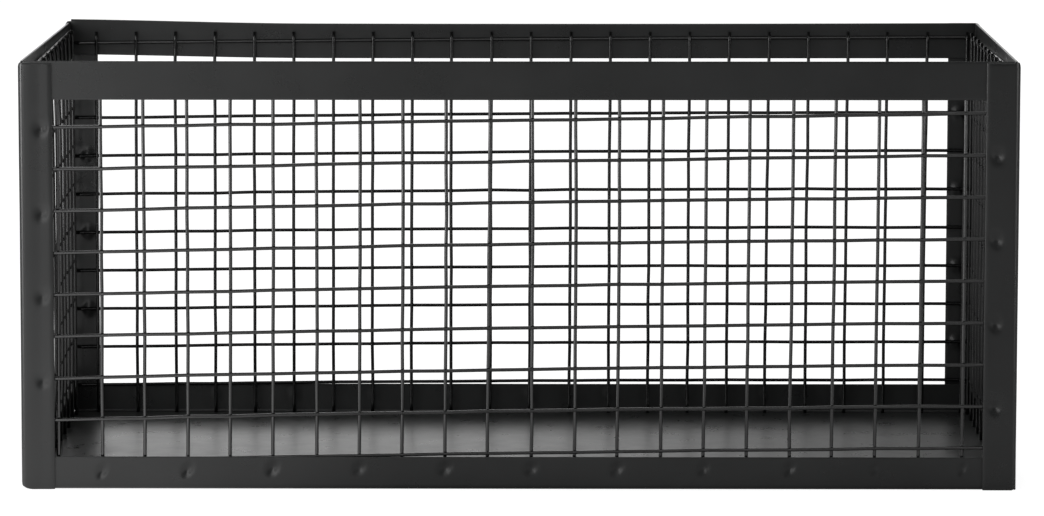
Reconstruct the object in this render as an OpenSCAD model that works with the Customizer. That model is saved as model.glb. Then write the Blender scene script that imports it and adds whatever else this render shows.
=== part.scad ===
// Open-topped wire basket: folded corner posts, a rim of flat rails, a folded floor tray
// and four panels of welded wire mesh. Origin at the middle of the resting face, front towards -Y.

/* [Body] */
// Outside width, along the front
body_w = 441; // [330:1:560]
// Outside depth, front to rear
body_d = 216; // [150:2:320]
// Outside height, from the resting face to the rim
body_h = 191; // [140:1:280]
// Thickness of the sheet steel of the posts, rails and tray
sheet_t = 1; // [0.8:0.1:1.6]

/* [Corner posts] */
// Width of each flange of a corner post
post_flange = 15; // [12:0.5:24]
// Outer radius of the bend in a corner post
post_bend_r = 2.5; // [1.8:0.1:5]
// How far the posts stop below the rim
post_drop = 0.8; // [0:0.1:3]
// Rounding of the posts' top corners
post_top_r = 1.5; // [0.5:0.1:4]
// Rounding of the two left posts at the foot
left_foot_r = 4; // [0.5:0.1:6]
// Rounding of the two right posts at the foot
right_foot_r = 1; // [0.5:0.1:6]

/* [Top rails] */
// Height of the strip that makes each top rail
rail_h = 17.2; // [10:0.2:26]

/* [Floor tray] */
// Height of the tray's turned-up edges
tray_h = 14.7; // [10:0.1:24]
// Outer radius of the fold between the tray's floor and its edges
tray_bend_r = 2; // [1.8:0.1:4]
// Radius of the relief hole that frees the folds at each corner of the tray
relief_r = 2.4; // [1:0.1:4]

/* [Mesh] */
// Diameter of the mesh wire
wire_d = 1.4; // [1:0.1:2.2]
// Spacing of the uprights
upright_pitch = 19.1; // [12:0.1:30]
// Spacing aimed at between cross wires, which are spread evenly from lowest to highest
cross_pitch = 18.7; // [12:0.1:30]
// How far the uprights stop below the rim, where the top wire lets them
upright_drop = 4.3; // [1:0.1:9]

/* [Fit of the front and rear panels] */
// Sideways offset of the front uprights, seen from outside
front_shift = 5.8; // [-9:0.1:9]
// Sideways offset of the rear uprights, seen from outside
rear_shift = -4; // [-9:0.1:9]
// How much higher the front cross wires are at their right end, seen from outside
front_rise = 6.9; // [-8:0.1:8]
// How much higher the rear cross wires are at their right end, seen from outside
rear_rise = -3; // [-8:0.1:8]
// Height of the front panel's bottom wire above the tray's edge, at mid width
front_low = 0.6; // [-1:0.1:8]
// Height of the rear panel's bottom wire above the tray's edge, at mid width
rear_low = 0.8; // [-1:0.1:8]
// Depth of the front panel's top wire below the rim, at mid width
front_top = 7.6; // [5:0.1:13]
// Depth of the rear panel's top wire below the rim, at mid width
rear_top = 7.3; // [5:0.1:13]

/* [Fit of the side panels] */
// Sideways offset of the left uprights, seen from outside
left_shift = 1.3; // [-9:0.1:9]
// Sideways offset of the right uprights, seen from outside
right_shift = 3.6; // [-9:0.1:9]
// How much higher the left cross wires are at their right end, seen from outside
left_rise = -2.3; // [-4:0.1:4]
// How much higher the right cross wires are at their right end, seen from outside
right_rise = -4; // [-4:0.1:4]
// Height of the side panels' bottom wires above the tray's edge, at mid depth
side_low = 4.4; // [1:0.1:8]
// Depth of the left panel's top wire below the rim, at mid depth
left_top = 4.8; // [3:0.1:13]
// Depth of the right panel's top wire below the rim, at mid depth
right_top = 6.1; // [3:0.1:13]

/* [Weld dimples] */
// Radius of a weld dimple on a post
post_weld_r = 3.5; // [2.5:0.1:5]
// Distance from a post's outer corner to its weld dimples
post_weld_inset = 10.5; // [9:0.1:11]
// Radius of a weld dimple on the tray
tray_weld_r = 3; // [2.5:0.1:4]
// Height of the tray's weld dimples where no wire is in their way
tray_weld_z = 9; // [7:0.1:10]

/* [Hidden] */
sides = ["front", "rear", "left", "right"];

coat_black = [0.13, 0.13, 0.135];
wire_black = [0.2, 0.2, 0.205];
// Clearance that keeps round surfaces from biting into what they touch
touch = 0.02;
// Clearance at the end of a wire
wire_end_gap = 0.5;
// Least distance from a weld dimple's bulge to a rail, a tray edge or a wire
weld_gap = 0.2;
// Overshoot of a cutting shape
over = 1;
$fn = 48;
wire_fn = 24;

// Distances inwards from the outer face of a side to the layers of its panel
rail_inset = sheet_t;
cross_inset = 2 * sheet_t + touch + wire_d / 2;
upright_inset = cross_inset + wire_d + touch;
panel_inset = upright_inset + wire_d / 2;

function is_long(side) = side == "front" || side == "rear";
function side_turn(side) = side == "front" ? 0 : side == "right" ? 90 : side == "rear" ? 180 : -90;
function side_length(side) = is_long(side) ? body_w : body_d;
function side_offset(side) = is_long(side) ? body_d / 2 : body_w / 2;

// The long panels reach the side rails, and the side panels fit between the long ones
function cross_length(side) = is_long(side)
    ? body_w - 4 * sheet_t - 2 * wire_end_gap
    : body_d - 2 * panel_inset - 2 * wire_end_gap;

// The one of four values, given in the order of sides, that belongs to a side
function for_side(side, values) = values[search([side], sides)[0]];
function shift_of(side) = for_side(side, [front_shift, rear_shift, left_shift, right_shift]);
function rise_of(side) = for_side(side, [front_rise, rear_rise, left_rise, right_rise]);
function low_of(side) = tray_h + for_side(side, [front_low, rear_low, side_low, side_low]);
function high_of(side) = body_h - for_side(side, [front_top, rear_top, left_top, right_top]);

// Cross wires are numbered upwards from 0, the bottom wire
function last_wire(side) = max(2, round((high_of(side) - low_of(side)) / cross_pitch));
function wire_z(side, i, x) = low_of(side) + (high_of(side) - low_of(side)) * i / last_wire(side)
    + rise_of(side) * x / cross_length(side);

function upright_reach(side) = cross_length(side) / 2 - wire_d / 2;
function first_upright(side) = ceil((-upright_reach(side) - shift_of(side)) / upright_pitch);
function last_upright(side) = floor((upright_reach(side) - shift_of(side)) / upright_pitch);
function upright_x(side, k) = shift_of(side) + k * upright_pitch;
// An upright never stops short of the top wire that it is welded to
function upright_head(side, k) = max(
    body_h - upright_drop,
    wire_z(side, last_wire(side), upright_x(side, k)) + wire_d / 2
);

// A weld dimple is a shallow spherical dent: depth at its middle, mouth radius r
function dent_r(r, depth) = (r * r + depth * depth) / (2 * depth);
function bulge_r(r, depth) = sqrt(2 * (dent_r(r, depth) + sheet_t) * depth - depth * depth);

post_weld_depth = sheet_t;
post_bulge_r = bulge_r(post_weld_r, post_weld_depth);
tray_weld_depth = wire_d + touch;
tray_bulge_r = bulge_r(tray_weld_r, tray_weld_depth);

// Puts its children on a side: x runs to the right seen from outside, y runs inwards
module on_side(side) {
    rotate([0, 0, side_turn(side)])
        translate([0, -side_offset(side), 0])
            children();
}

module dent(r, depth) {
    translate([0, depth - dent_r(r, depth), 0])
        sphere(r = dent_r(r, depth));
}

module bulge(r, depth) {
    intersection() {
        translate([0, depth - dent_r(r, depth), 0])
            sphere(r = dent_r(r, depth) + sheet_t);
        translate([0, sheet_t / 2, 0])
            rotate([-90, 0, 0])
                cylinder(r = bulge_r(r, depth) + over, h = depth + sheet_t);
    }
}

// Angle section with its outer corner at the origin
module post_section() {
    translate([post_bend_r, 0])
        square([post_flange - post_bend_r, sheet_t]);
    translate([0, post_bend_r])
        square([sheet_t, post_flange - post_bend_r]);
    intersection() {
        square(post_bend_r);
        translate([post_bend_r, post_bend_r])
            difference() {
                circle(r = post_bend_r);
                circle(r = post_bend_r - sheet_t);
            }
    }
}

// What is cut from both flanges at the foot of a post, so that its corner is rounded by r
module corner_cut(r) {
    reach = r + 2 * sheet_t;
    rotate([0, 0, 45])
        difference() {
            translate([-over, -r, -over])
                cube([reach + over, 2 * r, r + over]);
            for (hand = [-1, 1])
                translate([-2 * over, hand * r, r])
                    rotate([0, 90, 0])
                        cylinder(r = r, h = reach + 3 * over);
        }
}

// Heights of the weld dimples on one flange. Left posts are welded to the even wires, right posts
// to the odd ones, wherever a wire is clear of the rail and the tray.
function weld_heights(side, hand, x) = [
    for (i = [1 : last_wire(side) - 1])
        if (i % 2 == (hand == "left" ? 0 : 1)
            && wire_z(side, i, x) > tray_h + post_bulge_r + weld_gap
            && wire_z(side, i, x) < body_h - rail_h - post_bulge_r - weld_gap)
            wire_z(side, i, x)
];

// The places along a side, seen from outside, of the posts at its two ends
function flange_x(side, end) = end * (side_length(side) / 2 - post_weld_inset);

module flange_welds(side, hand, end) {
    for (z = weld_heights(side, hand, flange_x(side, end)))
        on_side(side)
            translate([flange_x(side, end), 0, z])
                children();
}

// A post for the corner where the long side and the short side meet
module corner_post(long_side, short_side, foot_r) {
    // Seen from outside, which end of each side the post stands at
    long_end = (long_side == "front") == (short_side == "left") ? -1 : 1;
    short_end = -long_end;
    color(coat_black)
        difference() {
            union() {
                mirror([short_side == "left" ? 0 : 1, 0, 0])
                    mirror([0, long_side == "front" ? 0 : 1, 0])
                        translate([-body_w / 2, -body_d / 2, 0])
                            difference() {
                                linear_extrude(height = body_h - post_drop)
                                    post_section();
                                corner_cut(foot_r);
                                translate([0, 0, body_h - post_drop])
                                    mirror([0, 0, 1])
                                        corner_cut(post_top_r);
                            }
                flange_welds(long_side, short_side, long_end)
                    bulge(post_weld_r, post_weld_depth);
                flange_welds(short_side, short_side, short_end)
                    bulge(post_weld_r, post_weld_depth);
            }
            flange_welds(long_side, short_side, long_end)
                dent(post_weld_r, post_weld_depth);
            flange_welds(short_side, short_side, short_end)
                dent(post_weld_r, post_weld_depth);
        }
}

module top_rail(side) {
    length = side_length(side) - 2 * post_bend_r;
    color(coat_black)
        on_side(side)
            translate([-length / 2, rail_inset, body_h - rail_h])
                cube([length, sheet_t, rail_h]);
}

// Fold and upstand of one edge of the tray
module tray_edge(side) {
    length = side_length(side) - 2 * (sheet_t + tray_bend_r + weld_gap);
    on_side(side)
        translate([-length / 2, rail_inset, 0])
            rotate([90, 0, 90])
                linear_extrude(height = length)
                    tray_edge_section();
}

module tray_edge_section() {
    translate([0, tray_bend_r])
        square([sheet_t, tray_h - tray_bend_r]);
    intersection() {
        square(tray_bend_r);
        translate([tray_bend_r, tray_bend_r])
            difference() {
                circle(r = tray_bend_r);
                circle(r = tray_bend_r - sheet_t);
            }
    }
}

// Every second upright is welded to the tray, between the posts
function tray_weld_ks(side) = [
    for (k = [first_upright(side) : last_upright(side)])
        if (k % 2 == 0
            && abs(upright_x(side, k)) < side_length(side) / 2 - post_flange - tray_weld_r)
            k
];
function tray_weld_height(side, x) = min(
    tray_weld_z,
    wire_z(side, 0, x) - wire_d / 2 - tray_bulge_r - weld_gap,
    tray_h - tray_bulge_r - weld_gap
);

module tray_welds(side) {
    for (k = tray_weld_ks(side))
        on_side(side)
            translate([upright_x(side, k), rail_inset, tray_weld_height(side, upright_x(side, k))])
                children();
}

module floor_tray() {
    fold = sheet_t + tray_bend_r;
    color(coat_black)
        difference() {
            union() {
                translate([fold - body_w / 2, fold - body_d / 2, 0])
                    cube([body_w - 2 * fold, body_d - 2 * fold, sheet_t]);
                for (side = sides) {
                    tray_edge(side);
                    tray_welds(side)
                        bulge(tray_weld_r, tray_weld_depth);
                }
            }
            for (side = sides)
                tray_welds(side)
                    dent(tray_weld_r, tray_weld_depth);
            for (x = [-1, 1])
                for (y = [-1, 1])
                    translate([x * (body_w / 2 - fold), y * (body_d / 2 - fold), -over])
                        cylinder(r = relief_r, h = tray_bend_r + over);
        }
}

module cross_wire(side, i) {
    slope = atan(rise_of(side) / cross_length(side));
    on_side(side)
        translate([0, cross_inset, wire_z(side, i, 0)])
            rotate([0, 90 - slope, 0])
                cylinder(d = wire_d, h = cross_length(side), center = true, $fn = wire_fn);
}

module cross_wires(side, first, last) {
    color(wire_black)
        for (i = [first : last])
            cross_wire(side, i);
}

module uprights(side) {
    foot = sheet_t + touch;
    color(wire_black)
        for (k = [first_upright(side) : last_upright(side)])
            on_side(side)
                translate([upright_x(side, k), upright_inset, foot])
                    cylinder(d = wire_d, h = upright_head(side, k) - foot, $fn = wire_fn);
}

corner_post("front", "left", left_foot_r);  // front_left_post
corner_post("front", "right", right_foot_r);  // front_right_post
corner_post("rear", "left", left_foot_r);  // rear_left_post
corner_post("rear", "right", right_foot_r);  // rear_right_post
floor_tray();
for (side = sides) {
    top_rail(side);
    uprights(side);
    cross_wires(side, last_wire(side), last_wire(side));
    cross_wires(side, 0, 0);
    cross_wires(side, 1, last_wire(side) - 1);
}
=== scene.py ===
# Looks of an open-topped wire basket: folded sheet posts, rails and tray, and welded mesh,
# all in semi-gloss black powder coat, in a white studio.
import math
from collections import namedtuple

import bmesh
import bpy
from mathutils import Matrix, Vector, noise


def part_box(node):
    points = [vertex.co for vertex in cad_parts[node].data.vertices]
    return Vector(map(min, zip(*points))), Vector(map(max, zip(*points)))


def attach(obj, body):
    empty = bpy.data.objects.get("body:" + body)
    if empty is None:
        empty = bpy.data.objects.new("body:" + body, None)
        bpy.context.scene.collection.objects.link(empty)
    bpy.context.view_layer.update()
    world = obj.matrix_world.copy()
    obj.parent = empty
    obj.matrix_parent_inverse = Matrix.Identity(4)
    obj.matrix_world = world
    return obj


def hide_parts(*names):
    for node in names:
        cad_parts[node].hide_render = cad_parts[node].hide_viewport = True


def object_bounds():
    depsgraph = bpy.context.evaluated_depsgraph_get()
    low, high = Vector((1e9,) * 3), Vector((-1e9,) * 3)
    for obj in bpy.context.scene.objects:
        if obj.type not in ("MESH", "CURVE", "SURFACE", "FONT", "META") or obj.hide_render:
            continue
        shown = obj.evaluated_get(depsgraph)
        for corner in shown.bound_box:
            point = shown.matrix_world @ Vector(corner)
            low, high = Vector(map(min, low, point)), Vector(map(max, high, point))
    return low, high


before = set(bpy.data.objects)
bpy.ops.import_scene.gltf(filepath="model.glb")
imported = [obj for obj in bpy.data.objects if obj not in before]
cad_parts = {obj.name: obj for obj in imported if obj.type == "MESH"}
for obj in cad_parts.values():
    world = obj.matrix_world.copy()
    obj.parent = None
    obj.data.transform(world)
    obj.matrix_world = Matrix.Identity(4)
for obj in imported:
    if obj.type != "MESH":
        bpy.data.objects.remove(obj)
cad_low, cad_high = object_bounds()

MM = 0.001
SIDES = ("front", "rear", "left", "right")

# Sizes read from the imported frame
BODY_W = cad_high.x - cad_low.x
BODY_D = cad_high.y - cad_low.y
BODY_H = cad_high.z - cad_low.z
rail_low, rail_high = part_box("front_top_rail")
SHEET = rail_high.y - rail_low.y
RAIL_H = rail_high.z - rail_low.z
RAIL_INSET = rail_low.y - cad_low.y
post_low, post_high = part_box("front_left_post")
POST_FLANGE = post_high.x - post_low.x
POST_TOP = post_high.z
POST_BEND_R = rail_low.x - cad_low.x
TRAY_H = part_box("floor_tray")[1].z
upright_low, upright_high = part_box("front_uprights")
WIRE_D = upright_high.y - upright_low.y

# Forms of the folded sheet
TRAY_BEND_R = 2.0 * MM
RELIEF_R = 2.4 * MM
POST_WELD_INSET = 9.9 * MM
POST_WELD_R = 4.2 * MM
TRAY_WELD_R = 3.3 * MM
TRAY_WELD_Z = 9.6 * MM
TRAY_WELD_DEPTHS = {"front": 1.35 * MM, "rear": 0.5 * MM, "left": 1.0 * MM, "right": 1.0 * MM}
EDGE_ROUND = 0.36 * MM
RAIL_EDGE_ROUND = 0.22 * MM

# Powder that thickens the wires and the sheet's faces
WIRE_COAT = 0.09 * MM
SHEET_COAT = 0.05 * MM

# How each post departs from a true one: its foot spread outwards, all of it set outwards, its top
# above the solid one, its corner cut away at the top and at the foot, and the fall of its faces
PostForm = namedtuple("PostForm", "splay out top_rise top_wide top_high foot_wide foot_high foot_turn fall")
POST_FORMS = {
    ("front", "left"): PostForm(*(v * MM for v in (0.62, 0.02, 0.0, 2.2, 0.6, 6.5, 4.2, 1.5, 0.2))),
    ("front", "right"): PostForm(*(v * MM for v in (0.08, 0.2, 0.5, 2.6, 1.6, 1.6, 1.0, 0.0, 0.04))),
    ("rear", "left"): PostForm(*(v * MM for v in (0.1, 0.1, 1.5, 1.8, 0.7, 6.0, 4.0, 0.0, 0.12))),
    ("rear", "right"): PostForm(*(v * MM for v in (0.1, 0.1, 0.8, 2.4, 1.0, 1.6, 1.0, 0.0, 0.04))),
}
TOP_TURN = 1.6 * MM

# How far the wires of a side stray: tops leaning to the right seen from outside, spread of the leans,
# spread of the places, middle of the uprights bulging to the right, cross wires bowed up low down
# and high up, the size of the kinks at the welds, and how far the whole mesh is pushed inwards
Stray = namedtuple("Stray", "lean leans places bulge bow_low bow_high kinks belly")
STRAYS = {
    "front": Stray(*(v * MM for v in (1.0, 0.7, 0.3, 0.3, 1.0, 0.0, 0.2, 0.0))),
    "rear": Stray(*(v * MM for v in (-0.8, 0.5, 0.2, 0.1, 0.85, 0.5, 0.2, 0.0))),
    "left": Stray(*(v * MM for v in (0.2, 0.4, 0.3, 0.1, 0.4, 0.2, 0.2, 2.6))),
    "right": Stray(*(v * MM for v in (-0.2, 0.4, 0.3, 0.1, 0.4, 0.2, 0.2, 1.6))),
}
BOW_FROM, BOW_TO = 118 * MM, 164 * MM
BELLY_AT, BELLY_END = 40 * MM, 98 * MM
REAR_TOP_WIRE_DROP = 1.1 * MM

# Camera, fitted to the photograph
CAMERA_AT = (17.586 * MM, -2258.31 * MM, 379.27 * MM)
CAMERA_PITCH = math.radians(7.2973)
CAMERA_TURN = math.radians(0.4296)
CAMERA_LENS = 169.26

# Light of the studio: the wall behind, low, in the middle and high, and its share at the right,
# the dull rest of the room and its front, the ceiling, the floor as the coat mirrors it, the light
# painted on it as a glow at the left and all along the front, and the lamps
WALL_LOW, WALL_MIDDLE, WALL_HIGH, WALL_RIGHT = 1.8, 2.45, 1.0, 0.12
ROOM_SHADE, ROOM_FRONT = 0.0, 0.05
CEILING = 2.2
FLOOR_SHADE, LIGHT_POOL, FLOOR_FRONT = 0.3, 0.65, 0.1
LAMPS = (
    ("left_side_panel", (-0.95, -0.48, 0.35), (0, 0, 0.1), (0.4, 0.8), 8),
    ("front_left_panel", (-0.68, -1.55, 0.4), (-0.15, 0, 0.1), (0.6, 0.9), 4.2),
    ("right_strip", (1.5, -0.85, 0.5), (0, 0, 0.1), (0.3, 1.2), 7),
    ("front_softbox", (0.0, -1.8, 1.6), (0, 0, 0.1), (1.2, 0.6), 4),
)


def side_turn(side):
    """Turns a place on the front into the same place on another side"""
    return {"front": 0.0, "right": math.pi / 2, "rear": math.pi, "left": -math.pi / 2}[side]


def side_length(side):
    return BODY_W if side in ("front", "rear") else BODY_D


def on_side(side):
    """Matrix that puts x to the right, y inwards and z up, seen from outside that side"""
    reach = BODY_D / 2 if side in ("front", "rear") else BODY_W / 2
    return Matrix.Rotation(side_turn(side), 4, "Z") @ Matrix.Translation((0, -reach, 0))


def ease(value, start, end):
    """Rises smoothly from 0 at start to 1 at end"""
    t = min(1.0, max(0.0, (value - start) / (end - start)))
    return t * t * (3 - 2 * t)


def curl(away, reach, depth):
    """Inward roll of a sheared edge, at a distance from that edge"""
    return depth * (1 - away / reach) ** 2 if away < reach else 0.0


def wires_of(node):
    """The two ends of each wire of a node, read from the node's own mesh"""
    bm = bmesh.new()
    bm.from_mesh(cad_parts[node].data)
    bmesh.ops.remove_doubles(bm, verts=bm.verts, dist=0.001 * MM)
    left, wires = set(bm.verts), []
    while left:
        wire, edge_of_it = set(), [left.pop()]
        while edge_of_it:
            vert = edge_of_it.pop()
            wire.add(vert)
            for edge in vert.link_edges:
                other = edge.other_vert(vert)
                if other in left:
                    left.remove(other)
                    edge_of_it.append(other)
        points = [v.co.copy() for v in wire]
        spans = [max(p[i] for p in points) - min(p[i] for p in points) for i in range(3)]
        axis = spans.index(max(spans))
        middle = sum((p[axis] for p in points)) / len(points)
        ends = [[p for p in points if (p[axis] > middle) == high] for high in (False, True)]
        wires.append(tuple(sum(end, Vector()) / len(end) for end in ends))
    bm.free()
    return wires


def finish_piece(name, bm, material, replaced):
    mesh = bpy.data.meshes.new(name)
    bm.to_mesh(mesh)
    bm.free()
    for face in mesh.polygons:
        face.use_smooth = True
    piece = bpy.data.objects.new(name, mesh)
    bpy.context.scene.collection.objects.link(piece)
    piece.data.materials.append(material)
    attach(piece, "root")
    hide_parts(*replaced)
    return piece


def make_sheet(piece, thickness, width):
    """Gives a folded skin its thickness, inwards from its outer face, and its round coated edges"""
    wall = piece.modifiers.new("sheet_thickness", "SOLIDIFY")
    wall.thickness = thickness
    wall.offset = -1
    wall.use_even_offset = False
    bevel = piece.modifiers.new("coated_edges", "BEVEL")
    bevel.width = width
    bevel.segments = 4
    bevel.limit_method = "ANGLE"
    bevel.angle_limit = math.radians(50)
    bevel.use_clamp_overlap = False
    bevel.harden_normals = False


def turn_outwards(bm):
    """Turns a skin so that its faces look away from the middle of the basket"""
    bmesh.ops.recalc_face_normals(bm, faces=bm.faces)
    middle = Vector((0, 0, BODY_H / 2))
    outward = sum(face.normal.dot(face.calc_center_median() - middle) * face.calc_area() for face in bm.faces)
    if outward < 0:
        bmesh.ops.reverse_faces(bm, faces=bm.faces)


def powder_coat(name, shade, gloss, peel, peel_scale, ior=1.5):
    """Black powder coat: faint cloudiness, orange peel and dust-fine specks"""
    material = bpy.data.materials.new(name)
    material.use_nodes = True
    nodes, links = material.node_tree.nodes, material.node_tree.links
    shader = nodes["Principled BSDF"]
    shader.inputs["Specular IOR Level"].default_value = 0.5
    shader.inputs["IOR"].default_value = ior
    place = nodes.new("ShaderNodeTexCoord")

    def noise_node(scale, detail, roughness=0.5):
        node = nodes.new("ShaderNodeTexNoise")
        node.inputs["Scale"].default_value = scale
        node.inputs["Detail"].default_value = detail
        node.inputs["Roughness"].default_value = roughness
        links.new(place.outputs["Object"], node.inputs["Vector"])
        return node

    def ramp(source, low, high, low_at, high_at):
        node = nodes.new("ShaderNodeValToRGB")
        node.color_ramp.elements[0].position = low_at
        node.color_ramp.elements[0].color = (*low, 1)
        node.color_ramp.elements[1].position = high_at
        node.color_ramp.elements[1].color = (*high, 1)
        links.new(source, node.inputs["Fac"])
        return node

    cloud = noise_node(26, 3)
    dark = [c * 0.86 for c in shade]
    pale = [c * 1.18 for c in shade]
    colour = ramp(cloud.outputs["Fac"], dark, pale, 0.35, 0.68)
    links.new(colour.outputs["Color"], shader.inputs["Base Color"])
    sheen = noise_node(60, 4, 0.6)
    rough = ramp(sheen.outputs["Fac"], [gloss - 0.03] * 3, [gloss + 0.04] * 3, 0.35, 0.7)
    links.new(rough.outputs["Color"], shader.inputs["Roughness"])
    orange = noise_node(peel_scale, 2, 0.4)
    fine = noise_node(peel_scale * 5, 2, 0.5)
    mix = nodes.new("ShaderNodeMath")
    mix.operation = "MULTIPLY_ADD"
    mix.inputs[1].default_value = 0.2
    links.new(fine.outputs["Fac"], mix.inputs[0])
    links.new(orange.outputs["Fac"], mix.inputs[2])
    bump = nodes.new("ShaderNodeBump")
    bump.inputs["Strength"].default_value = peel
    bump.inputs["Distance"].default_value = 0.05 * MM
    links.new(mix.outputs["Value"], bump.inputs["Height"])
    links.new(bump.outputs["Normal"], shader.inputs["Normal"])
    return material


def dent(along, up, radius, depth, tall=1.0, slant=0.0):
    """Depth of a weld dimple at a distance from its middle, stretched upwards and leaning right"""
    u = along * math.cos(slant) - up * math.sin(slant)
    v = (along * math.sin(slant) + up * math.cos(slant)) / tall
    away = math.hypot(u, v) / radius
    return depth * math.exp(-3.4 * away * away) if away < 1.6 else 0.0


def cross_lines(side):
    """All cross wires of a side, lowest first"""
    found = wires_of(side + "_bottom_wire") + wires_of(side + "_cross_wires") + wires_of(side + "_top_wire")
    inverse = on_side(side).inverted()
    lines = [tuple(sorted((inverse @ a, inverse @ b), key=lambda p: p.x)) for a, b in found]
    return sorted(lines, key=lambda line: line[0].z + line[1].z)


def height_at(line, x):
    a, b = line
    return a.z + (b.z - a.z) * (x - a.x) / (b.x - a.x)


LINES = {side: cross_lines(side) for side in SIDES}
UPRIGHTS = {
    side: sorted(((on_side(side).inverted() @ a, on_side(side).inverted() @ b) for a, b in
                  wires_of(side + "_uprights")), key=lambda ends: ends[0].x)
    for side in SIDES
}


def chance(seed, number):
    """A repeatable draw between about -1 and 1"""
    return 1.6 * noise.noise(Vector((number * 1.37 + 0.5, seed * 0.731 + 0.25, 0.3)))


def kinked(seed, t):
    """A deviation that changes direction at every whole number, as a wire does at its welds"""
    k = math.floor(t)
    return chance(seed, k) + (chance(seed, k + 1) - chance(seed, k)) * (t - k)


def upright_shift(side, number, z):
    """How far to the right an upright strays at a height"""
    stray = STRAYS[side]
    seed = SIDES.index(side) * 40 + number
    share = z / BODY_H - 0.5
    pitch = LINES[side][1][0].z - LINES[side][0][0].z
    t = (z - LINES[side][0][0].z) / pitch
    lean = stray.lean + stray.leans * chance(seed, 50)
    bulge = stray.bulge * (1 - 4 * share * share)
    return lean * share + bulge + stray.places * chance(seed, 60) + stray.kinks * kinked(seed, t)


def cross_shift(side, number, x):
    """How far a cross wire strays upwards at a place along it"""
    stray = STRAYS[side]
    line = LINES[side][number]
    seed = SIDES.index(side) * 40 + number + 300
    half = (line[1].x - line[0].x) / 2
    share = x / half
    bow = stray.bow_low + (stray.bow_high - stray.bow_low) * ease(line[0].z, BOW_FROM, BOW_TO)
    pitch = UPRIGHTS[side][1][0].x - UPRIGHTS[side][0][0].x
    t = (x - UPRIGHTS[side][0][0].x) / pitch
    held = 1 - ease(abs(share), 0.9, 1.0)
    if side == "rear" and number == len(LINES[side]) - 1:
        bow -= REAR_TOP_WIRE_DROP
        return bow * (1 - share * share) - REAR_TOP_WIRE_DROP * share * share
    return bow * (1 - share * share) + held * stray.kinks * kinked(seed, t)


def belly(side, x, z):
    """Share of the inward push of a side's mesh: most before the middle, falling evenly to the rear"""
    rearward = (-x if side == "left" else x) + BELLY_AT
    reach = BELLY_END + math.copysign(BELLY_AT, rearward)
    away = min(1, abs(rearward) / reach)
    return (1 - 1.12 * away * away / (away + 0.12)) * (1 - (2 * z / BODY_H - 1) ** 4)


def panel_depth(side, x, z):
    """How far the whole mesh of a side stands inwards or outwards of its plane"""
    share = abs(x) / (side_length(side) / 2)
    free = 1 - ease(share, 0.75, 0.95)
    free *= ease(z, TRAY_H, 2.5 * TRAY_H) * (1 - ease(z, BODY_H - 3 * RAIL_H, BODY_H - RAIL_H))
    return STRAYS[side].belly * belly(side, x, z) + 0.35 * MM * free * noise.noise(Vector((x * 14, z * 14, SIDES.index(side) * 5.5)))


def post_welds(side, end, hand):
    """Heights of the weld dimples on one flange: left posts at even wires, right posts at odd ones"""
    x = end * (side_length(side) / 2 - POST_WELD_INSET)
    start = 0 if hand == "left" else 1
    heights = []
    for i, line in enumerate(LINES[side][:-1]):
        z = height_at(line, x)
        if i and i % 2 == start and TRAY_H + POST_WELD_R < z < BODY_H - RAIL_H - POST_WELD_R:
            heights.append(z)
    return heights


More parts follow.
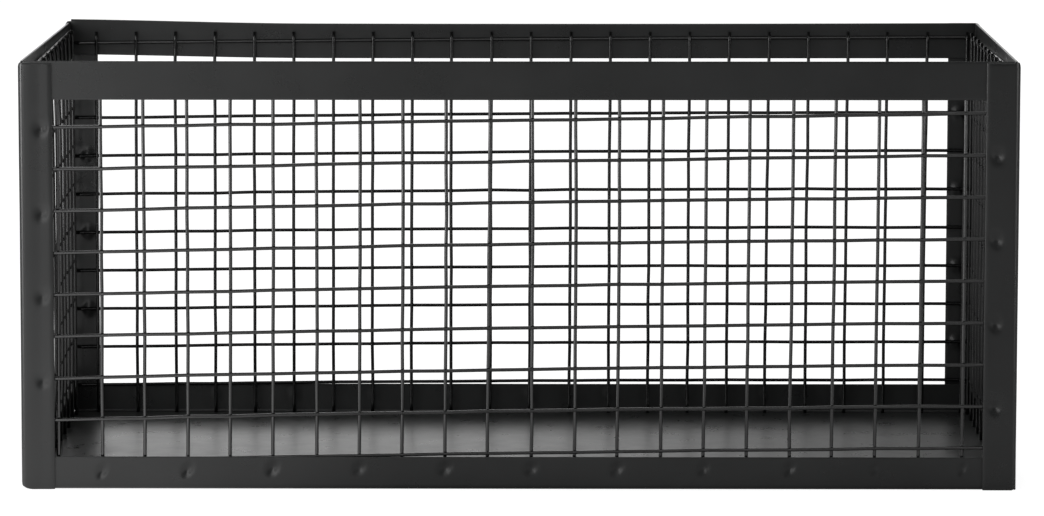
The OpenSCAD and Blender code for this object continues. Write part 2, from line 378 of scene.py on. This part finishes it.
def corner_post(row, hand, material):
    """One post: a strip folded to an angle, dimpled at its welds and rounded at its ends"""
    form = POST_FORMS[row, hand]
    x_sign = -1 if hand == "left" else 1
    y_sign = -1 if row == "front" else 1
    long_end = -1 if (row == "front") == (hand == "left") else 1
    long_welds = post_welds(row, long_end, hand)
    short_welds = post_welds(hand, -long_end, hand)
    flat = POST_FLANGE - POST_BEND_R
    arc = POST_BEND_R * math.pi / 2
    run = 2 * flat + arc
    columns, rows = 64, 300
    end_crowding = 0.25
    edge_reach, edge_roll = 2.2 * MM, 0.34 * MM
    top_reach, top_roll = 1.7 * MM, 0.4 * MM

    def cut_corner(s, turned, wide, high):
        """How much of the height a rounded corner takes off the strip, at a place along it"""
        t = abs(s - flat - arc / 2 - turned) / wide
        return high * (1 - math.sqrt(1 - (1 - t) ** 2)) if t < 1 else 0.0

    bm = bmesh.new()
    bmesh.ops.create_grid(bm, x_segments=columns, y_segments=rows, size=0.5)
    for vert in bm.verts:
        s = (vert.co.x + 0.5) * run
        v = vert.co.y + 0.5
        v -= end_crowding * math.sin(2 * math.pi * v) / (2 * math.pi)
        if s < flat:
            place = Vector((POST_FLANGE - s, 0, 0))
            inward = Vector((0, 1, 0))
            across, to_edge, welds = place.x, s, long_welds
        elif s > flat + arc:
            place = Vector((0, POST_FLANGE - (run - s), 0))
            inward = Vector((1, 0, 0))
            across, to_edge, welds = place.y, run - s, short_welds
        else:
            turn = (s - flat) / POST_BEND_R
            inward = Vector((math.sin(turn), math.cos(turn), 0))
            place = Vector((POST_BEND_R, POST_BEND_R, 0)) - inward * POST_BEND_R
            across, to_edge, welds = 0, flat, ()
        low = cut_corner(s, form.foot_turn, form.foot_wide, form.foot_high)
        rise = form.top_rise * (1 - 0.9 * ease(s, flat + arc / 3, flat + 2 * arc))
        high = POST_TOP + rise - cut_corner(s, TOP_TURN, form.top_wide, form.top_high)
        z = low + v * (high - low)
        push = sum(dent(across - POST_WELD_INSET, z - weld, POST_WELD_R, 1.0 * MM, 1.25, 0.25) for weld in welds)
        push += curl(to_edge, edge_reach, edge_roll) + curl(high - z, top_reach, top_roll)
        push += form.fall * ease(across, 3.4 * MM, 10 * MM) - SHEET_COAT
        push += 0.06 * MM * noise.noise(Vector((s * 90, z * 30, x_sign * 3 + y_sign)))
        vert.co = place + inward * push + Vector((0, 0, z))
        vert.co.x -= form.out + form.splay * (1 - z / BODY_H) ** 2
    seat = Matrix.Translation((x_sign * BODY_W / 2, y_sign * BODY_D / 2, 0))
    hands = Matrix.Diagonal((-x_sign, -y_sign, 1, 1))
    bmesh.ops.transform(bm, matrix=seat @ hands, verts=bm.verts)
    turn_outwards(bm)
    name = f"{row}_{hand}_folded_post"
    piece = finish_piece(name, bm, material, [f"{row}_{hand}_post"])
    make_sheet(piece, SHEET, EDGE_ROUND)
    return piece


def rail_rise(side, x, v):
    """How far a rail strays upwards: the rear one sags, and its left end in the photo stands high"""
    share = 2 * x / side_length(side)
    if side != "rear":
        return -0.05 * MM * (1 - share * share)
    sag = 0.5 * MM * (1 - share * share) * (0.35 + 0.65 * v)
    return 1.7 * MM * ease(share, 0.45, 1.05) - sag


def top_rail(side, material):
    """A strip on edge, its sheared edges rolled in a little"""
    low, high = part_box(side + "_top_rail")
    length = max(high.x - low.x, high.y - low.y)
    edge_reach, edge_roll = 0.9 * MM, 0.14 * MM
    bm = bmesh.new()
    bmesh.ops.create_grid(bm, x_segments=int(length / (3 * MM)), y_segments=36, size=0.5)
    for vert in bm.verts:
        x, v = vert.co.x * length, vert.co.y + 0.5
        wave = noise.noise(Vector((x * 16, v * 0.8, side_turn(side))))
        z = BODY_H - RAIL_H + v * RAIL_H + rail_rise(side, x, v)
        y = RAIL_INSET + curl(min(v, 1 - v) * RAIL_H, edge_reach, edge_roll) + 0.07 * wave * MM - SHEET_COAT
        vert.co = Vector((x, y, z))
    bmesh.ops.transform(bm, matrix=on_side(side), verts=bm.verts)
    turn_outwards(bm)
    piece = finish_piece(side + "_rim_rail", bm, material, [side + "_top_rail"])
    make_sheet(piece, SHEET * 0.94, RAIL_EDGE_ROUND)
    return piece


def tray_welds(side):
    """Where the tray is dimpled: at every second upright between the posts"""
    places = []
    shown = [ends[0].x for ends in UPRIGHTS[side]]
    middle = min(range(len(shown)), key=lambda i: abs(shown[i]))
    for i, x in enumerate(shown):
        if (i - middle) % 2 == 0 and abs(x) < side_length(side) / 2 - POST_FLANGE - TRAY_WELD_R:
            z = min(TRAY_WELD_Z, height_at(LINES[side][0], x) - WIRE_D / 2 - TRAY_WELD_R)
            depth = TRAY_WELD_DEPTHS[side] * (0.85 + 0.3 * chance(SIDES.index(side) + 90, i))
            depth *= 1 - 0.5 * ease(x, 60 * MM, 190 * MM)
            places.append((x + upright_shift(side, i, z), z, depth))
    return places


def folded_tray(material):
    """The floor sheet with its four edges turned up, dimpled where the uprights are welded on"""
    welds = {side: tray_welds(side) for side in SIDES}
    rise = TRAY_H - TRAY_BEND_R
    arc = TRAY_BEND_R * math.pi / 2
    half_w = BODY_W / 2 - RAIL_INSET - TRAY_BEND_R
    half_d = BODY_D / 2 - RAIL_INSET - TRAY_BEND_R
    margin = arc + rise
    across_cells, deep_cells, edge_cells = 500, 90, 26
    edge_reach, edge_roll = 1.0 * MM, 0.16 * MM
    bm = bmesh.new()
    bmesh.ops.create_grid(bm, x_segments=across_cells, y_segments=deep_cells, size=0.5)

    def blank(share, count, half):
        """Place on the flat blank, with cells packed closely along the turned-up edges"""
        cell = round((share + 0.5) * count)
        if cell < edge_cells:
            return -half - margin * (edge_cells - cell) / edge_cells
        if cell > count - edge_cells:
            return half + margin * (cell - count + edge_cells) / edge_cells
        flat = (cell - edge_cells) / (count - 2 * edge_cells)
        return -half + 2 * half * (flat - 0.8 * math.sin(2 * math.pi * flat) / (2 * math.pi))

    def fold(beyond):
        """How far out and up the sheet gets in a run past the fold line"""
        if beyond <= 0:
            return 0.0, 0.0
        if beyond < arc:
            turn = beyond / TRAY_BEND_R
            return TRAY_BEND_R * math.sin(turn), TRAY_BEND_R * (1 - math.cos(turn))
        return TRAY_BEND_R, TRAY_BEND_R + beyond - arc

    for vert in bm.verts:
        vert.co.x = blank(vert.co.x, across_cells, half_w)
        vert.co.y = blank(vert.co.y, deep_cells, half_d)
    corners = [
        face for face in bm.faces
        if abs(face.calc_center_median().x) > half_w and abs(face.calc_center_median().y) > half_d
    ]
    bmesh.ops.delete(bm, geom=corners, context="FACES")
    bites = [
        vert for vert in bm.verts
        if math.hypot(abs(vert.co.x) - half_w, abs(vert.co.y) - half_d) < RELIEF_R * 0.5
    ]
    bmesh.ops.delete(bm, geom=bites, context="VERTS")
    slack = 0.25 * MM
    for vert in bm.verts:
        x, y = vert.co.x, vert.co.y
        out_x, up_x = fold(abs(x) - half_w)
        out_y, up_y = fold(abs(y) - half_d)
        px = math.copysign(min(abs(x), half_w) + out_x, x)
        py = math.copysign(min(abs(y), half_d) + out_y, y)
        z = up_x + up_y
        if up_y > TRAY_BEND_R or up_x > TRAY_BEND_R:
            side = ("rear" if y > 0 else "front") if up_y > up_x else ("right" if x > 0 else "left")
            seen = on_side(side).inverted() @ Vector((px, py, z))
            push = sum(
                dent(seen.x - at, z - high, TRAY_WELD_R, depth, 1.7, 0.42) for at, high, depth in welds[side]
            )
            push += curl(TRAY_H - z, edge_reach, edge_roll) - SHEET_COAT
            push += 0.06 * MM * noise.noise(Vector((seen.x * 22, z * 20, 7 + SIDES.index(side))))
            if up_y > up_x:
                py -= math.copysign(push, y)
            else:
                px -= math.copysign(push, x)
        if up_y > 0:
            px = max(-half_w - TRAY_BEND_R + slack, min(half_w + TRAY_BEND_R - slack, px))
        vert.co = Vector((px, py, z))
    turn_outwards(bm)
    piece = finish_piece("folded_floor_tray", bm, material, ["floor_tray"])
    make_sheet(piece, SHEET, EDGE_ROUND)
    return piece


def straight_wire(cuts):
    """A wire one unit long with flat cut ends and enough rings to bend"""
    bm = bmesh.new()
    radius = WIRE_D / 2 + WIRE_COAT
    bmesh.ops.create_cone(bm, cap_ends=True, cap_tris=False, segments=12, radius1=radius, radius2=radius, depth=1)
    long_edges = [edge for edge in bm.edges if abs(edge.verts[0].co.z - edge.verts[1].co.z) > 0.5]
    bmesh.ops.subdivide_edges(bm, edges=long_edges, cuts=cuts)
    mesh = bpy.data.meshes.new(f"straight_wire_{cuts}")
    bm.to_mesh(mesh)
    bm.free()
    return mesh


def weld_nugget():
    """The little nugget of metal where two wires are welded together"""
    bm = bmesh.new()
    bmesh.ops.create_uvsphere(bm, u_segments=8, v_segments=5, radius=WIRE_D / 2 + WIRE_COAT)
    bmesh.ops.transform(bm, matrix=Matrix.Diagonal((1.2, 0.85, 1.2, 1)), verts=bm.verts)
    mesh = bpy.data.meshes.new("weld_nugget")
    bm.to_mesh(mesh)
    bm.free()
    return mesh


STOCK = {}


def new_verts(bm, mesh):
    before = len(bm.verts)
    bm.from_mesh(mesh)
    bm.verts.ensure_lookup_table()
    return bm.verts[before:]


def strung_wire(bm, start, end, stray):
    """One wire from start to end, each of its rings moved as stray says for that place"""
    run = end - start
    cuts = max(8, int(run.length / (4.7 * MM)))
    if cuts not in STOCK:
        STOCK[cuts] = straight_wire(cuts)
    turn = Vector((0, 0, 1)).rotation_difference(run.normalized())
    for vert in new_verts(bm, STOCK[cuts]):
        on_axis = start + run * (vert.co.z + 0.5)
        vert.co = on_axis + turn @ Vector((vert.co.x, vert.co.y, 0)) + stray(on_axis)


def mesh_panel(side, coats):
    """Uprights, top wire, bottom wire and cross wires of one side, with the welds between them"""
    lines, uprights = LINES[side], UPRIGHTS[side]
    numbers = {
        "uprights": range(len(uprights)), "bottom_wire": [0],
        "cross_wires": range(1, len(lines) - 1), "top_wire": [len(lines) - 1],
    }
    nugget = weld_nugget()
    for kind, group in numbers.items():
        bm = bmesh.new()
        for number in group:
            if kind == "uprights":
                strung_wire(bm, *uprights[number], lambda at: Vector(
                    (upright_shift(side, number, at.z), panel_depth(side, at.x, at.z), 0)
                ))
            else:
                strung_wire(bm, *lines[number], lambda at: Vector(
                    (0, panel_depth(side, at.x, at.z), cross_shift(side, number, at.x))
                ))
        if kind == "uprights":
            for number, (foot, head) in enumerate(uprights):
                for row, line in enumerate(lines):
                    z = height_at(line, foot.x) + cross_shift(side, row, foot.x)
                    x = foot.x + upright_shift(side, number, z)
                    at = Vector((x, (foot.y + line[0].y) / 2 + panel_depth(side, x, z), z))
                    bmesh.ops.transform(bm, matrix=Matrix.Translation(at), verts=new_verts(bm, nugget))
        bmesh.ops.transform(bm, matrix=on_side(side), verts=bm.verts)
        name = f"{side}_drawn_{kind.replace('uprights', 'upright_wires')}"
        # The front wires and the top wires of every side take the glossier copy of the coat, a painted highlight;
        # the rest take the duller copy, painted shade
        bright = side == "front" or kind == "top_wire"
        finish_piece(name, bm, coats[not bright], [f"{side}_{kind}"])


def studio(floor_material):
    """Pale floor, white surroundings and soft lamps, with the camera of the photograph"""
    mesh = bpy.data.meshes.new("studio_floor")
    bm = bmesh.new()
    bmesh.ops.create_grid(bm, x_segments=1, y_segments=1, size=30)
    bm.to_mesh(mesh)
    bm.free()
    floor = bpy.data.objects.new("studio_floor", mesh)
    bpy.context.scene.collection.objects.link(floor)
    floor.data.materials.append(floor_material)

    world = bpy.data.worlds.new("studio_white")
    world.use_nodes = True
    nodes, links = world.node_tree.nodes, world.node_tree.links
    white = nodes["Background"]
    white.inputs["Color"].default_value = (1, 1, 1, 1)
    white.inputs["Strength"].default_value = 1.0
    room = nodes.new("ShaderNodeBackground")
    room.inputs["Strength"].default_value = 1.0
    place = nodes.new("ShaderNodeTexCoord")
    split = nodes.new("ShaderNodeSeparateXYZ")
    links.new(place.outputs["Generated"], split.inputs["Vector"])

    def share(axis, dark_at, bright_at, low, high):
        """Brightness that rises from one place on an axis of the room to another"""
        node = nodes.new("ShaderNodeMapRange")
        node.interpolation_type = "SMOOTHSTEP"
        node.inputs["From Min"].default_value = dark_at
        node.inputs["From Max"].default_value = bright_at
        node.inputs["To Min"].default_value = low
        node.inputs["To Max"].default_value = high
        links.new(split.outputs[axis], node.inputs["Value"])
        return node.outputs["Result"]

    def combine(operation, first, second):
        node = nodes.new("ShaderNodeMath")
        node.operation = operation
        links.new(first, node.inputs[0])
        links.new(second, node.inputs[1])
        return node.outputs["Value"]

    behind = share("Y", 0.0, 0.8, 0, 1)
    sides = combine("MULTIPLY", share("X", -0.2, -0.12, 0, 1), share("X", 0.2, 0.12, 0, 1))
    wall = combine("MULTIPLY", share("Z", 0.13, 0.08, 0, WALL_LOW), sides)
    middle = combine("MULTIPLY", share("Z", 0.14, 0.24, 0, WALL_MIDDLE), share("Z", 0.7, 0.5, 0, 1))
    middle = combine("MULTIPLY", middle, share("X", 0.1, -0.04, WALL_RIGHT, 1))
    wall = combine("ADD", wall, combine("ADD", middle, share("Z", 0.5, 0.7, 0, WALL_HIGH)))
    before = combine("MULTIPLY", share("Y", -0.1, -0.6, ROOM_SHADE, ROOM_FRONT), share("X", 0.7, 0.3, 0, 1))
    links.new(combine("ADD", combine("MULTIPLY", wall, behind), before), room.inputs["Strength"])
    seen = nodes.new("ShaderNodeLightPath")
    choice = nodes.new("ShaderNodeMixShader")
    links.new(seen.outputs["Is Camera Ray"], choice.inputs["Fac"])
    links.new(room.outputs["Background"], choice.inputs[1])
    links.new(white.outputs["Background"], choice.inputs[2])
    links.new(choice.outputs["Shader"], nodes["World Output"].inputs["Surface"])
    bpy.context.scene.world = world

    def softbox(name, at, aim, size, power):
        light = bpy.data.lights.new(name, "AREA")
        light.shape = "RECTANGLE"
        light.size, light.size_y = size
        light.energy = power
        lamp = bpy.data.objects.new(name, light)
        lamp.location = at
        lamp.rotation_euler = (Vector(aim) - Vector(at)).to_track_quat("-Z", "Y").to_euler()
        bpy.context.scene.collection.objects.link(lamp)

    sky = bpy.data.lights.new("ceiling_bounce", "SUN")
    sky.energy = CEILING
    sky.angle = math.radians(120)
    ceiling = bpy.data.objects.new("ceiling_bounce", sky)
    ceiling.visible_glossy = False
    bpy.context.scene.collection.objects.link(ceiling)

    for lamp in LAMPS:
        softbox(*lamp)

    camera_data = bpy.data.cameras.new("photo_camera")
    camera_data.lens = CAMERA_LENS
    camera_data.sensor_width = 36
    camera_data.clip_start, camera_data.clip_end = 0.05, 100
    camera = bpy.data.objects.new("photo_camera", camera_data)
    camera.location = CAMERA_AT
    camera.rotation_euler = (math.pi / 2 - CAMERA_PITCH, 0, CAMERA_TURN)
    bpy.context.scene.collection.objects.link(camera)
    bpy.context.scene.camera = camera
    bpy.context.scene.view_settings.view_transform = "Standard"


def pale_floor():
    """White where it is seen. What the coat mirrors is duller, but for the light pool at the left"""
    material = bpy.data.materials.new("pale_floor")
    material.use_nodes = True
    nodes, links = material.node_tree.nodes, material.node_tree.links
    nodes.remove(nodes["Principled BSDF"])
    place = nodes.new("ShaderNodeTexCoord")
    split = nodes.new("ShaderNodeSeparateXYZ")
    links.new(place.outputs["Object"], split.inputs["Vector"])

    def surface(kind, colour):
        node = nodes.new(kind)
        node.inputs["Color"].default_value = (colour, colour, colour, 1)
        return node

    def add(first, second):
        node = nodes.new("ShaderNodeAddShader")
        links.new(first, node.inputs[0])
        links.new(second, node.inputs[1])
        return node.outputs["Shader"]

    def share(axis, dark_at, bright_at):
        node = nodes.new("ShaderNodeMapRange")
        node.interpolation_type = "SMOOTHSTEP"
        node.inputs["From Min"].default_value = dark_at
        node.inputs["From Max"].default_value = bright_at
        links.new(split.outputs[axis], node.inputs["Value"])
        return node.outputs["Result"]

    def times(first, second):
        node = nodes.new("ShaderNodeMath")
        node.operation = "MULTIPLY"
        links.new(first, node.inputs[0])
        links.new(second, node.inputs[1])
        return node.outputs["Value"]

    # Painted light pool: the floor glows at the left in front of the basket, only where the coat mirrors it
    pool = surface("ShaderNodeEmission", LIGHT_POOL)
    shape = times(times(share("X", -0.04, -0.2), share("X", -0.9, -0.5)),
                  times(share("Y", -1.1, -0.5), share("Y", 0.0, -0.1)))
    links.new(shape, pool.inputs["Strength"])
    # Painted light along the front: a faint glow of the floor in front of the basket, seen only in the coat's
    # reflections
    front = surface("ShaderNodeEmission", FLOOR_FRONT)
    links.new(times(share("Y", -4, -3), share("Y", -0.08, -0.2)), front.inputs["Strength"])
    shown = add(surface("ShaderNodeEmission", 0.8).outputs["Emission"],
                surface("ShaderNodeBsdfDiffuse", 0.3).outputs["BSDF"])
    lit = add(pool.outputs["Emission"], front.outputs["Emission"])
    mirrored = add(surface("ShaderNodeBsdfDiffuse", FLOOR_SHADE).outputs["BSDF"], lit)
    seen = nodes.new("ShaderNodeLightPath")
    choice = nodes.new("ShaderNodeMixShader")
    links.new(seen.outputs["Is Camera Ray"], choice.inputs["Fac"])
    links.new(mirrored, choice.inputs[1])
    links.new(shown, choice.inputs[2])
    links.new(choice.outputs["Shader"], nodes["Material Output"].inputs["Surface"])
    return material


studio(pale_floor())
sheet_coat = powder_coat("black_powder_coat_on_sheet", (0.010, 0.0104, 0.0104), 0.30, 0.06, 520)
tray_coat = powder_coat("black_powder_coat_on_tray", (0.010, 0.0104, 0.0104), 0.30, 0.0, 300)
# Two copies of one wire coat: the glossier, higher-IOR one is a painted highlight on the front wires and the top
# wires, the duller one is painted shade on the other rear and side wires
wire_coats = (
    powder_coat("black_powder_coat_on_wire_painted_lit", (0.002, 0.0021, 0.0021), 0.14, 0.06, 520, 1.8),
    powder_coat("black_powder_coat_on_wire_painted_shade", (0.002, 0.0021, 0.0021), 0.2, 0.06, 520, 1.45),
)
for row in ("front", "rear"):
    for hand in ("left", "right"):
        corner_post(row, hand, sheet_coat)
for side in SIDES:
    top_rail(side, sheet_coat)
folded_tray(tray_coat)
for side in SIDES:
    mesh_panel(side, wire_coats)
